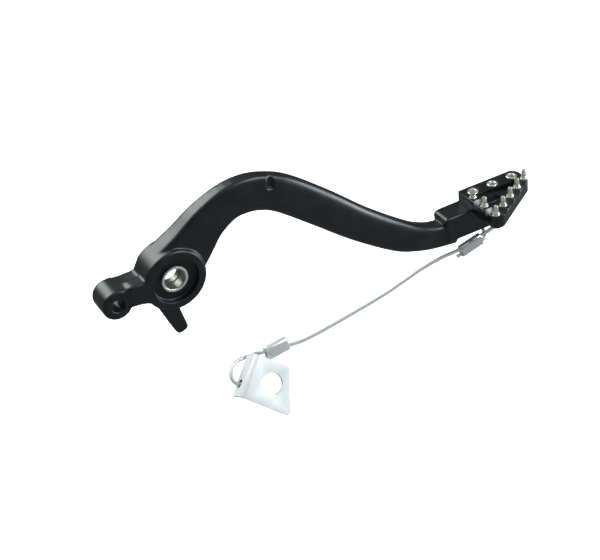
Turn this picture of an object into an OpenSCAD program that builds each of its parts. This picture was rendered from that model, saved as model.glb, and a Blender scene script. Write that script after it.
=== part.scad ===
// Rear brake pedal for an off-road motorbike, with its toe tip and safety cable.
// Millimetres. The origin is the middle of the pivot bore, +X points forward,
// +Y inboard and +Z up. The arm was forged in one piece with its pivot hub, its
// rear lug, its stop tab and its front block.

/* [Pivot hub] */
// Outside diameter of the hub
hub_d = 38.8; // [36:0.2:41]
// Distance of the hub's outboard face from the origin
hub_out = 8.6; // [7.6:0.2:10]
// Distance of the hub's inboard face from the origin
hub_in = 10.5; // [8:0.5:12]
// Diameter of the recess round the bush, on both faces
recess_d = 28.6; // [24:0.2:30]
// Length of the seat that the bush is pressed into
seat_l = 9.2; // [8:0.2:11]

/* [Pivot bush] */
// Bore of the steel bush, the pivot bolt's diameter
bush_id = 13; // [10:0.5:14]
// Outside diameter of the bush, pressed into its seat
bush_od = 16.5; // [15.5:0.5:18]
// Length of the bush
bush_l = 13; // [11:0.5:14]

/* [Rear lug] */
// Distance of the clevis hole behind the pivot
lug_back = 36; // [32:0.5:40]
// Distance of the clevis hole below the pivot
lug_drop = 6.4; // [2:0.2:9]
// Outside diameter of the lug
lug_d = 18.4; // [15:0.2:20]
// Diameter of the clevis hole
clevis_d = 8; // [6:0.5:9]
// Set-back of the lug's outboard face from the hub's
lug_step = 1.2; // [0.6:0.2:3]

/* [Stop tab] */
// Drop of the tab's end below the pivot
tab_drop = 39; // [36:0.2:44]
// Distance of the tab's end ahead of the pivot
tab_ahead = 5; // [0:0.2:10]
// Width of the tab at its free end
tab_w = 7.8; // [5:0.2:9]
// Thickness of the tab
tab_t = 9; // [6:0.5:11]
// Angle of the tab below the horizontal
tab_angle = 67; // [58:1:80]

/* [Arm] */
// Thickness of the arm at the crest of its bend
arm_t = 10.8; // [9:0.2:13]
// Height of the arm at the crest of its bend
arm_h = 22.8; // [18:0.2:25]
// Distance of the bend's crest ahead of the pivot
bend_x = 48; // [42:1:54]
// Height of the bend's crest above the pivot
bend_rise = 51.4; // [46:0.2:58]
// Drop of the arm's middle, where it meets the block, below the pivot
arm_front_drop = 27.2; // [25:0.2:29]
// Diameter of the spring hole in the top of the bend
spring_hole_d = 4.6; // [3:0.2:6]
// Depth of the spring hole
spring_hole_depth = 10; // [6:0.5:12]

/* [Front block] */
// Distance of the rear tip screw ahead of the pivot
tip_x = 212; // [195:1:225]
// Height of the tip's top face, below the pivot
tip_drop = 2.8; // [0:0.2:8]
// Nose-up pitch of the block and the tip
tip_pitch = 6.2; // [4:0.2:9]
// Width of the block
block_w = 15; // [13:0.5:17]
// Height of the block
block_h = 18; // [16:0.5:20]

/* [Toe tip] */
// Thickness of the tip
tip_t = 8.6; // [8:0.2:11]
// Length of the screwed bar, behind the rear screw
tip_back = 7.8; // [6.6:0.2:9]
// Length of the tip ahead of the rear screw
tip_front = 36; // [35:0.2:40]
// Width of the screwed bar
bar_w = 10.8; // [10:0.2:12]
// Reach of the tip outboard of the screws
tip_reach = 34.8; // [33:0.2:42]
// Spacing of the tip screws
screw_pitch = 15; // [13:0.2:15.6]
// Thread diameter of the tip screws
screw_d = 4; // [3:0.5:5]
// Head diameter of the tip screws
head_d = 7.4; // [6:0.2:7.6]
// Head height of the tip screws
head_h = 4; // [3:0.2:4.6]
// Play round a screw in the tip
screw_play = 0.4; // [0.2:0.1:0.8]

/* [Cleats] */
// Height of a cleat above the tip
cleat_h = 6.6; // [4:0.2:8]
// Diameter of a cleat's flange
cleat_flange_d = 5; // [4.6:0.2:6.4]
// Diameter of a cleat's pin
cleat_pin_d = 3.2; // [3:0.1:4]
// Depth of a cleat's thread in the tip
cleat_thread = 5; // [3:0.5:7]
// Depth of the V grooves between the cleats
groove_depth = 3; // [1:0.2:4]

/* [Safety cable] */
// Diameter of the sheathed cable
cable_d = 2.6; // [1.6:0.2:2.8]
// Diameter of the cross hole in the block for the front loop
cable_hole_d = 5.4; // [4.4:0.2:6]
// Length of a crimp ferrule
ferrule_l = 16; // [12:0.5:16]
// Thickness of a crimp ferrule
ferrule_t = 5; // [4.4:0.2:6]

/* [Anchor bracket] */
// Sheet thickness
sheet_t = 2; // [1.5:0.1:2.6]
// Width of the plate at its bottom edge
plate_w = 35.6; // [32:0.2:40]
// Width of the plate at its top edge
plate_top_w = 24; // [22:0.2:34]
// Height of the plate
plate_h = 29.2; // [27:0.2:34]
// Depth of the folded flange
flange_depth = 16; // [15:0.5:20]
// Diameter of the bolt hole
bolt_hole_d = 14; // [8:0.5:15]
// Diameter of the loop's hole in the flange
loop_hole_d = 5.4; // [4.4:0.2:6]

/* [Hidden] */
$fn = 64;
EPS = 0.02;
ANODISED = "#22282b";
STEEL = "#c4c8bd";
ALUMINIUM = "#e6e8ea";
SHEATH = "#b4b8b8";

// The tab reaches back into the hub, and is wider there
tab_root = 33;
tab_flare = 4.3;

// The spring hole breaks into the arm's outboard side, just past the crest
spring_hole_x = bend_x + 15.5;

// Edge break on the forging and on the machined tip
hub_chamfer = 1;
edge_break = 0.8;
tip_break = 0.4;

// Rear screw, in the middle of the tip's top face, is the origin of the front end
tip_z = -tip_drop;
block_top = -tip_t;
block_back = -26;
block_nose = 13;
tongue_w = 9;
tongue_t = 4;
tongue_end = tip_front - 1.5;
screw_l = 8;
counterbore_d = head_d + 1;
counterbore_depth = head_h + 0.1;

// Toe tip outline: x along the bar and y inboard, from the rear screw
bar_in = -bar_w / 2;
rear_bar_w = 6.8;
slant_bar_w = 6.8;
cleat_inset = 3.2;
slant_front = [tip_front, bar_in - 5];
slant_near = [-2.2, -tip_reach + 0.6];
slant_dir = unit(slant_front - slant_near);
slant_in = [-slant_dir[1], slant_dir[0]];

// Cleats: three in the rear row, then four more along the slant
cleat_rear_x = -tip_back + cleat_inset;
cleat_first = [cleat_rear_x, bar_in - 1.2];
cleat_corner = [cleat_rear_x, -tip_reach + cleat_inset];
cleat_last = slant_front + slant_in * cleat_inset - slant_dir * 0.6;
CLEATS = [
    cleat_first,
    (cleat_first + cleat_corner) / 2,
    for (k = [0 : 4]) cleat_corner + (cleat_last - cleat_corner) * k / 4
];

// Cable hole in the block, low enough that the loop bears on its lower side
cable_hole_x = 12.7;
cable_hole_z = -tip_t - 8.6;

// Arm stations: x, z, added height, added thickness, squareness of the section
// and how far it lies inboard. The first climb from the hub to the crest, and
// the last fall to the block by their share of the way forward and down.
bend_z = bend_rise - arm_h / 2;
CLIMB = [
    [3, bend_z * 0.12, 12.4, 5.6, 6, 2.3],
    [bend_x * 0.28, bend_z * 0.41, 6.4, 4.1, 6, 1.85],
    [bend_x * 0.48, bend_z * 0.7, 1.9, 2.1, 6, 0.95],
    [bend_x * 0.75, bend_z * 0.93, -0.2, 0.4, 5.5, 0.2],
    [bend_x, bend_z, 0, 0, 5, 0]
];
FALL = [
    [0.073, 0.019, 0, 0, 4],
    [0.159, 0.1, 0.4, 0.6, 3],
    [0.317, 0.351, 0.4, 1, 2.7],
    [0.482, 0.632, -0.7, 1, 2.7],
    [0.659, 0.885, -2.2, 1.2, 2.8],
    [0.75, 0.967, -4.6, 1.6, 3.2],
    [0.823, 0.998, -6.6, 2.2, 4],
    [0.915, 1, -6.8, 2.2, 5]
];
ARM = concat(CLIMB, [
    for (f = FALL)
        [bend_x + f[0] * (tip_x - bend_x), bend_z - f[1] * (bend_z + arm_front_drop), f[2], f[3], f[4], 0]
]);
arm_steps = 4;
section_points = 32;

// Cable: radius of its eight-sided tube and the hand-laid route, as x, y, z.
// It starts at the cut end behind the front ferrule, rounds the block through
// the cross hole, runs back to the rear ferrule, and loops through the flange.
CABLE_SIDES = 8;
ROUTE = [
    [199.4, -5, -45.8], [202.2, -5, -44.8], [210.2, -5, -41.9], [218.3, -5, -39],
    [221, -4.4, -37.8], [222.6, -1, -36], [223.4, 4, -33], [224.2, 8.4, -29.4],
    [225.4, 11.2, -25.2], [226.3, 11.2, -21.4], [226.6, 8, -19.6], [226.6, 0, -19.5],
    [226.6, -8, -19.6], [226.3, -11.2, -21.4], [224.8, -11.6, -24.8], [222.6, -10, -28],
    [220.6, -7.4, -31.6], [218.9, -5.6, -34], [216.9, -5, -35], [208.9, -5, -37.9],
    [200.9, -5, -40.8], [195.2, -4.3, -42.3], [187.7, -2.5, -45], [174.3, 0, -51],
    [161.3, 3, -59.2], [148.3, 6, -67], [128, 9.5, -76.2], [107.5, 12.5, -84.4],
    [96, 14.3, -88.3], [89.6, 15.3, -89.3], [86, 15.9, -90], [78, 15.5, -91.5],
    [70, 15.1, -93], [66.6, 14.5, -94], [62.4, 13.6, -97.6], [58.2, 12.3, -101.3],
    [53.9, 11.3, -104.1], [49.2, 11.7, -104.5], [46, 14.1, -103.6], [45.7, 18.3, -101.1],
    [48.4, 22.4, -98.5], [53.1, 25, -96.8], [58.3, 25.9, -96.3], [62.8, 25.1, -95.4],
    [65.4, 22.8, -93.5], [66.4, 19.6, -91], [68.9, 16.9, -89.1], [77.4, 17.2, -87.5],
    [83.6, 17.5, -86.3], [86.4, 17.7, -85.8]
];
FRONT_PASS_1 = pass(ROUTE[19], ROUTE[20]);
FRONT_PASS_2 = pass(ROUTE[2], ROUTE[1]);
REAR_PASS_1 = pass(ROUTE[31], ROUTE[32]);
REAR_PASS_2 = pass(ROUTE[47], ROUTE[46]);

// Bracket: its place, its turn and its fold
bracket_at = [42.8, 0, -104.6];
bracket_tilt = 58;
bracket_turn = -4;
bracket_roll = -35;
bolt_hole_x = 17;
bolt_hole_y = 15;
loop_hole_y = 8.6;
loop_hole_z = -10;
fold_r = 3.4;

function unit(v) = v / norm(v);

// Ends of a straight pass through a ferrule, from its middle towards a point
function pass(mid, ahead) = let (v = unit(ahead - mid) * ferrule_l / 2) [mid - v, mid + v];

// Value of a smooth curve through four neighbours, at t from 0 to 1 past b
function spline(a, b, c, d, t) =
    b + t / 2 * (c - a + t * (2 * a - 5 * b + 4 * c - d + t * (3 * (b - c) + d - a)));

// A list with its rows joined by smooth steps
function smooth_rows(rows, steps) = [
    for (i = [0 : len(rows) - 2]) for (s = [0 : steps - 1])
        spline(rows[max(i - 1, 0)], rows[i], rows[i + 1], rows[min(i + 2, len(rows) - 1)], s / steps),
    rows[len(rows) - 1]
];

// Directions along a list of points
function directions(pts) = [
    for (i = [0 : len(pts) - 1])
        unit(pts[min(i + 1, len(pts) - 1)] - pts[max(i - 1, 0)])
];

// Sideways directions that follow a curve without twisting
function side_of(n, t) = unit(n - (n * t) * t);
function sides(ts) = [
    for (i = 0, n = side_of([0, 0, 1], ts[0]); i < len(ts);
         i = i + 1, n = i < len(ts) ? side_of(n, ts[i]) : n) n
];

function signed_power(v, e) = sign(v) * pow(abs(v), e);

// Rounded section, squarer as its exponent grows
function section(h, w, e) = [
    for (k = [0 : section_points - 1])
        let (a = 360 * k / section_points + 180 / section_points)
        [h / 2 * signed_power(cos(a), 2 / e), w / 2 * signed_power(sin(a), 2 / e)]
];

// Points of an arc in a plane
function arc(c, r, from, to, n) = [
    for (k = [0 : n]) let (a = from + (to - from) * k / n) [c[0] + r * cos(a), c[1] + r * sin(a)]
];

// Closed skin over rings of points
module skin(rings) {
    n = len(rings[0]);
    m = len(rings);
    polyhedron(
        points = [for (r = rings) for (p = r) p],
        faces = [
            [for (k = [n - 1 : -1 : 0]) k],
            for (i = [0 : m - 2]) for (k = [0 : n - 1])
                let (a = i * n + k, b = i * n + (k + 1) % n)
                each [[a, b, b + n], [a, b + n, a + n]],
            [for (k = [0 : n - 1]) (m - 1) * n + k]
        ],
        convexity = 8
    );
}

// Round bar from one point to another
module rod(p, q, d) {
    v = q - p;
    translate(p)
        rotate([0, acos(v[2] / norm(v)), atan2(v[1], v[0])])
            cylinder(h = norm(v), d = d);
}

// Cylinder along +Y from one height to another
module y_cylinder(x, z, y0, y1, d) {
    translate([x, y0, z])
        rotate([-90, 0, 0])
            cylinder(h = y1 - y0, d = d);
}

// Turned boss along Y with a broken edge at both faces
module boss(x, z, y0, y1, d, c) {
    r = d / 2;
    translate([x, 0, z])
        rotate([-90, 0, 0])
            rotate_extrude()
                polygon([[0, y0], [r - c, y0], [r, y0 + c], [r, y1 - c], [r - c, y1], [0, y1]]);
}

// Plate standing in the XZ plane, from y0 to y1
module upright(y0, y1) {
    translate([0, y1, 0])
        rotate([90, 0, 0])
            linear_extrude(height = y1 - y0)
                children();
}

// Places a child in the frame of the tip
module at_tip() {
    translate([tip_x, 0, tip_z])
        rotate([0, -tip_pitch, 0])
            children();
}

module arm_beam() {
    rows = smooth_rows(ARM, arm_steps);
    ts = directions([for (r = rows) [r[0], r[1]]]);
    skin([
        for (i = [0 : len(rows) - 1])
            let (r = rows[i], t = ts[i])
            [for (p = section(arm_h + r[2], arm_t + r[3], r[4]))
                [r[0] - t[1] * p[0], p[1] + r[5], r[1] + t[0] * p[0]]]
    ]);
}

// Neck between the lug and the hub, thicker and higher on its outboard side
module neck() {
    top = lug_d / 2 - lug_drop;
    x_lug = -lug_back;
    x_pad = x_lug + 7.1;
    hub_root = [-9, 8];
    under = [
        [-9, -15], [-14, -12], [-16.4, -10.5], [-19, -9.5], [-22, -9.1], [x_pad, -9.1]
    ];
    upright(-hub_out + lug_step, hub_in)
        polygon(concat([[x_lug, top], [x_pad, top], [-18, top + 1.3], hub_root], under, [[x_lug, -lug_drop - 4]]));
    upright(-hub_out, 0)
        polygon(concat([[x_pad, top + 1.2], [-18, top + 2.3], hub_root], under));
}

// Tab that widens into the hub behind the pivot
module stop_tab() {
    half = tab_w / 2;
    r = 2.4;
    translate([tab_ahead, 0, -tab_drop])
        rotate([0, tab_angle, 0])
            hull() {
                for (side = [-1, 1]) {
                    translate([-r, 0, side * (half - r)])
                        rotate([90, 0, 0])
                            cylinder(h = tab_t - 2 * edge_break, r = r, center = true, $fn = 24);
                    translate([-r, 0, side * (half - r)])
                        rotate([90, 0, 0])
                            cylinder(h = tab_t, r = r - edge_break, center = true, $fn = 24);
                }
                translate([-tab_root, 0, 0])
                    cube([1, tab_t - 2 * edge_break, tab_w + tab_flare], center = true);
                translate([-tab_root, 0, 0])
                    cube([1, tab_t, tab_w + tab_flare - 2 * edge_break], center = true);
            }
}

// Block under the tip, with a tongue that carries the front screws
module front_block() {
    r = 3;
    at_tip() {
        hull() {
            for (w = [[block_w, 0], [block_w - 2 * edge_break, edge_break]]) {
                translate([block_back + r, -w[0] / 2, block_top - r])
                    rotate([-90, 0, 0])
                        cylinder(h = w[0], r = r + w[1] - edge_break, $fn = 32);
                translate([block_back + r + 2, -w[0] / 2, block_top - block_h + r])
                    rotate([-90, 0, 0])
                        cylinder(h = w[0], r = r + w[1] - edge_break, $fn = 32);
                translate([block_nose, -w[0] / 2, block_top - block_h + 5])
                    rotate([-90, 0, 0])
                        cylinder(h = w[0], r = 5 + w[1] - edge_break, $fn = 32);
                translate([block_nose, -w[0] / 2, block_top - 5])
                    cube([5, w[0], 5]);
            }
        }
        hull() {
            translate([block_nose, -tongue_w / 2, block_top - block_h + 6])
                cube([4, tongue_w, block_h - 6]);
            translate([tongue_end - tongue_w / 2, 0, block_top - tongue_t])
                cylinder(h = tongue_t, d = tongue_w, $fn = 32);
        }
    }
}

module pedal_arm() {
    color(ANODISED)
        difference() {
            union() {
                boss(0, 0, -hub_out, hub_in, hub_d, hub_chamfer);
                boss(-lug_back, -lug_drop, -hub_out + lug_step, hub_in, lug_d, hub_chamfer);
                neck();
                stop_tab();
                arm_beam();
                front_block();
            }
            y_cylinder(0, 0, -seat_l / 2 - EPS, seat_l / 2 + EPS, bush_od);
            y_cylinder(0, 0, -hub_out - 1, -seat_l / 2, recess_d);
            y_cylinder(0, 0, seat_l / 2, hub_in + 1, recess_d);
            y_cylinder(-lug_back, -lug_drop, -hub_out - 1, hub_in + 1, clevis_d);
            translate([spring_hole_x, -arm_t / 2, bend_rise - spring_hole_depth])
                cylinder(h = 2 * spring_hole_depth, d = spring_hole_d, $fn = 32);
            at_tip() {
                for (k = [0 : 2])
                    translate([k * screw_pitch, 0, block_top - tongue_t - 1])
                        cylinder(h = tongue_t + 2, d = screw_d);
                translate([cable_hole_x, -block_w / 2 - 1, cable_hole_z])
                    rotate([-90, 0, 0])
                        cylinder(h = block_w + 2, d = cable_hole_d);
            }
        }
}

module pivot_bush() {
    c = 0.5;
    color(STEEL)
        rotate([90, 0, 0])
            rotate_extrude()
                polygon([
                    [bush_id / 2, -bush_l / 2 + c], [bush_id / 2 + c, -bush_l / 2],
                    [bush_od / 2, -bush_l / 2], [bush_od / 2, bush_l / 2],
                    [bush_id / 2 + c, bush_l / 2], [bush_id / 2, bush_l / 2 - c]
                ]);
}

// Outline of the tip, all the way round
module tip_outline() {
    r = 3.6;
    corner_back = 0.4;
    corner_from = -52;
    polygon(concat(
        [[-tip_back, bar_w / 2], [tip_front - 3.8, bar_w / 2]],
        [[tip_front - 1.1, bar_w / 2 - 2.2], [tip_front, bar_w / 2 - 4.8]],
        [slant_front + [0, 1.2], slant_front - slant_dir * 1.2],
        arc([slant_near[0] + corner_back, -tip_reach + r], r, corner_from, -90, 4),
        arc([-tip_back + r, -tip_reach + r], r, -90, -180, 8)
    ));
}

// Window inside the three bars
module tip_window() {
    rear = -tip_back + rear_bar_w;
    inner = slant_front + slant_in * slant_bar_w;
    slope = slant_dir[1] / slant_dir[0];
    far_x = inner[0] + (bar_in - inner[1]) / slope;
    near_y = inner[1] + (rear - inner[0]) * slope;
    polygon([[rear, bar_in], [far_x, bar_in], [rear, near_y]]);
}

// V groove across a bar, with its floor line along x
module groove(l) {
    rotate([90, 0, 90])
        linear_extrude(height = l, center = true)
            polygon([[-groove_depth * 0.9, EPS], [0, -groove_depth], [groove_depth * 0.9, EPS]]);
}

// Grooves across the slanting bar, kept out of the two other bars
module slant_grooves() {
    rear = -tip_back + rear_bar_w;
    intersection() {
        for (k = [2 : 5]) {
            m = (CLEATS[k] + CLEATS[k + 1]) / 2;
            translate([m[0], m[1], 0])
                rotate([0, 0, atan2(slant_dir[1], slant_dir[0]) + 90])
                    groove(slant_bar_w + 4);
        }
        translate([rear, bar_in - tip_reach, -tip_t])
            cube([tip_front + 10, tip_reach - 0.1, tip_t + 1]);
    }
}

module toe_tip() {
    color(ANODISED)
        at_tip()
            difference() {
                translate([0, 0, -tip_t])
                    linear_extrude(height = tip_t)
                        difference() {
                            tip_outline();
                            tip_window();
                        }
                for (k = [0 : 2])
                    translate([k * screw_pitch, 0, 0]) {
                        translate([0, 0, -tip_t - 1])
                            cylinder(h = tip_t + 2, d = screw_d + screw_play);
                        translate([0, 0, -counterbore_depth])
                            cylinder(h = counterbore_depth + 1, d = counterbore_d);
                    }
                for (c = CLEATS)
                    translate([c[0], c[1], -cleat_thread])
                        cylinder(h = cleat_thread + 1, d = screw_d - 1);
                for (k = [0 : 1]) {
                    m = (CLEATS[k] + CLEATS[k + 1]) / 2;
                    translate([m[0], m[1], 0])
                        groove(rear_bar_w + 4);
                }
                slant_grooves();
            }
}

// Socket head cap screw, its head sunk in the tip
module tip_screw(k) {
    socket = head_h * 0.55;
    color(STEEL)
        at_tip()
            translate([k * screw_pitch, 0, -counterbore_depth])
                difference() {
                    union() {
                        translate([0, 0, -screw_l])
                            cylinder(h = screw_l + EPS, d = screw_d);
                        rotate_extrude()
                            polygon([
                                [0, 0], [head_d / 2, 0], [head_d / 2, head_h - 0.8],
                                [head_d / 2 - 0.3, head_h - 0.2], [head_d / 2 - 0.9, head_h], [0, head_h]
                            ]);
                    }
                    translate([0, 0, head_h - socket])
                        cylinder(h = socket + 1, d = head_d * 0.5, $fn = 6);
                }
}

// Turned steel cleat: thread, flange, tapered pin and a small cup on top
module cleat(k) {
    r = cleat_pin_d / 2;
    f = cleat_flange_d / 2;
    color(STEEL)
        at_tip()
            translate([CLEATS[k][0], CLEATS[k][1], 0])
                rotate_extrude($fn = 32)
                    polygon([
                        [0, -cleat_thread + 0.2], [(screw_d - 1) / 2, -cleat_thread + 0.2],
                        [(screw_d - 1) / 2, 0], [f, 0], [f, 0.7], [r + 0.25, 1.8],
                        [r, 2.6], [r - 0.2, cleat_h - 0.3], [r - 0.45, cleat_h],
                        [r - 0.8, cleat_h], [r - 1, cleat_h - 0.8], [0, cleat_h - 0.8]
                    ]);
}

module safety_cable() {
    pts = smooth_rows(ROUTE, 1);
    ts = directions(pts);
    ns = sides(ts);
    color(SHEATH)
        skin([
            for (i = [0 : len(pts) - 1])
                let (b = cross(ts[i], ns[i]))
                [for (k = [0 : CABLE_SIDES - 1])
                    let (a = 360 * k / CABLE_SIDES)
                    pts[i] + cable_d / 2 * (ns[i] * cos(a) + b * sin(a))]
        ]);
}

// Flat-oval crimp sleeve round two passes of the cable
module ferrule(first, second) {
    bore = cable_d + 0.3;
    color(ALUMINIUM)
        difference() {
            hull() {
                rod(first[0], first[1], ferrule_t, $fn = 32);
                rod(second[0], second[1], ferrule_t, $fn = 32);
            }
            for (p = [first, second]) {
                v = unit(p[1] - p[0]);
                rod(p[0] - v, p[1] + v, bore);
            }
        }
}

module front_ferrule() {
    ferrule(FRONT_PASS_1, FRONT_PASS_2);
}

module rear_ferrule() {
    ferrule(REAR_PASS_1, REAR_PASS_2);
}

// Section of the folded sheet, across its fold
module fold_section() {
    r = fold_r - sheet_t;
    polygon(concat(
        [[plate_w, 0]],
        arc([fold_r, -fold_r], fold_r, 90, 180, 8),
        [[0, -flange_depth], [sheet_t, -flange_depth]],
        arc([fold_r, -fold_r], r, 180, 90, 8),
        [[plate_w, -sheet_t]]
    ));
}

module anchor_bracket() {
    color(ALUMINIUM)
        translate(bracket_at)
            rotate([bracket_tilt, 0, bracket_turn])
                rotate([0, 0, bracket_roll])
                    difference() {
                        intersection() {
                            translate([0, plate_h, 0])
                                rotate([90, 0, 0])
                                    linear_extrude(height = plate_h)
                                        fold_section();
                            translate([0, 0, -flange_depth - 1])
                                linear_extrude(height = flange_depth + 2)
                                    plate_outline();
                        }
                        translate([bolt_hole_x, bolt_hole_y, -sheet_t - 1])
                            cylinder(h = sheet_t + 2, d = bolt_hole_d);
                        translate([-1, loop_hole_y, loop_hole_z])
                            rotate([0, 90, 0])
                                cylinder(h = sheet_t + 2, d = loop_hole_d);
                    }
}

// Outline of the plate: square at the fold, slanting in on its free edge
module plate_outline() {
    polygon([[-1, 0], [plate_w - 1.5, 0], [plate_w, 1.5], [plate_top_w, plate_h], [-1, plate_h]]);
}

pedal_arm();
pivot_bush();
toe_tip();
tip_screw(0);  // tip_screw_rear
tip_screw(1);  // tip_screw_middle
tip_screw(2);  // tip_screw_front
cleat(0);  // cleat_1
cleat(1);  // cleat_2
cleat(2);  // cleat_3
cleat(3);  // cleat_4
cleat(4);  // cleat_5
cleat(5);  // cleat_6
cleat(6);  // cleat_7
safety_cable();
front_ferrule();
rear_ferrule();
anchor_bracket();
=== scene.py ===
"""Looks of a motorbike's rear brake pedal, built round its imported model.

Every piece lies in the pedal's own frame: the middle of the pivot bore is the
origin, +X points forward to the toe tip, +Y inboard and +Z up. Sizes in the
classes are in millimetres, and MM turns them to Blender's metres.
"""

import logging
import math
from dataclasses import dataclass
from enum import Enum
from typing import Any, ClassVar

import bpy
from mathutils import Matrix, Vector


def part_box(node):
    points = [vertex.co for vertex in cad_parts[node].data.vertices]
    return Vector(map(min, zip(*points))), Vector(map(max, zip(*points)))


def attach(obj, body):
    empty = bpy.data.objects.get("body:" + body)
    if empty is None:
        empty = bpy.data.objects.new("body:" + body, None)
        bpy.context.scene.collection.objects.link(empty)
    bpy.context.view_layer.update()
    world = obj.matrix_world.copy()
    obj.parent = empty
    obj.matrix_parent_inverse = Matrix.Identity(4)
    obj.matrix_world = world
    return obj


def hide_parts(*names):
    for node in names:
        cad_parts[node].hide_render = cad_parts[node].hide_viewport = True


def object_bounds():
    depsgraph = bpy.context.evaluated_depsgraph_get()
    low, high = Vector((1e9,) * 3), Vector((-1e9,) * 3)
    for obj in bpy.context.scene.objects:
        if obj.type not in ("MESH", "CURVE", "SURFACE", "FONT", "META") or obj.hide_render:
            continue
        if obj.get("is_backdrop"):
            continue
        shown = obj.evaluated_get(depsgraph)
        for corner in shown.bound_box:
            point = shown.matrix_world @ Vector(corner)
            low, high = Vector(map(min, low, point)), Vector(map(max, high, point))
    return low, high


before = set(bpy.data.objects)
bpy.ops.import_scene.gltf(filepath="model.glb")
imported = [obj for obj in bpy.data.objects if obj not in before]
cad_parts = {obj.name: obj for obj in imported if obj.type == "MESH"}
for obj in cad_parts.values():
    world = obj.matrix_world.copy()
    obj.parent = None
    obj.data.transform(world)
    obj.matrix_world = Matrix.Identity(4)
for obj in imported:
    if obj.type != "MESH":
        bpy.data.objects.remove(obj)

log = logging.getLogger("pedal")

MM = 0.001
INBOARD = Vector((0, 1, 0))
OUTBOARD = Vector((0, -1, 0))

# A place, and the height and radius of each station of a turned form
Triple = tuple[float, float, float]
Profile = list[tuple[float, float]]


def linear(hex_colour: str) -> tuple[float, float, float, float]:
    """Turns an sRGB hex colour to linear light.

    Args:
        hex_colour: Six hex digits after a hash.

    Returns:
        Red, green, blue and an alpha of 1.
    """
    parts = [int(hex_colour[k : k + 2], 16) / 255 for k in (1, 3, 5)]
    low = [c / 12.92 if c <= 0.04045 else ((c + 0.055) / 1.055) ** 2.4 for c in parts]
    return (low[0], low[1], low[2], 1.0)


def add_node(
    tree: bpy.types.NodeTree,
    kind: str,
    inputs: dict[Any, Any] | None = None,
    links: dict[Any, bpy.types.NodeSocket] | None = None,
    **settings: Any,
) -> bpy.types.Node:
    """Adds a node with its settings, its input values and its links.

    Args:
        tree: The material's or the world's node tree.
        kind: Type name of the node.
        inputs: Value for each input, by its name or number.
        links: Output that feeds each input, by the input's name or number.
        **settings: Attributes of the node itself.

    Returns:
        The new node.
    """
    made = tree.nodes.new(kind)
    for name, value in settings.items():
        setattr(made, name, value)
    for name, value in (inputs or {}).items():
        made.inputs[name].default_value = value
    for name, source in (links or {}).items():
        tree.links.new(source, made.inputs[name])
    return made


def set_ramp(ramp: bpy.types.Node, stops: list[tuple[float, str]]) -> None:
    """Sets the colours of a colour ramp.

    Args:
        ramp: The colour ramp's node.
        stops: Place from 0 to 1 and hex colour of each stop, in order.
    """
    elements = ramp.color_ramp.elements
    while len(elements) < len(stops):
        elements.new(1.0)
    for element, (place, colour) in zip(elements, stops):
        element.position = place
        element.color = linear(colour)


def new_material(
    name: str, values: dict[str, Any]
) -> tuple[bpy.types.Material, bpy.types.NodeTree, bpy.types.Node]:
    """Adds a material with nodes, and sets its shader's constant inputs.

    Args:
        name: Name of the material.
        values: Value for each of the shader's inputs, by name.

    Returns:
        The material, its node tree and its shader.
    """
    made = bpy.data.materials.new(name)
    made.use_nodes = True
    shader = made.node_tree.nodes["Principled BSDF"]
    for socket, value in values.items():
        shader.inputs[socket].default_value = value
    return made, made.node_tree, shader


class Coat(Enum):
    """How a metal's surface was made, by the stretch of its grain's pattern."""

    BLASTED = (1.0, 1.0, 1.0)
    BRUSHED = (0.04, 1.0, 1.0)
    TURNED = (1.0, 1.0, 6.0)


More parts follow.
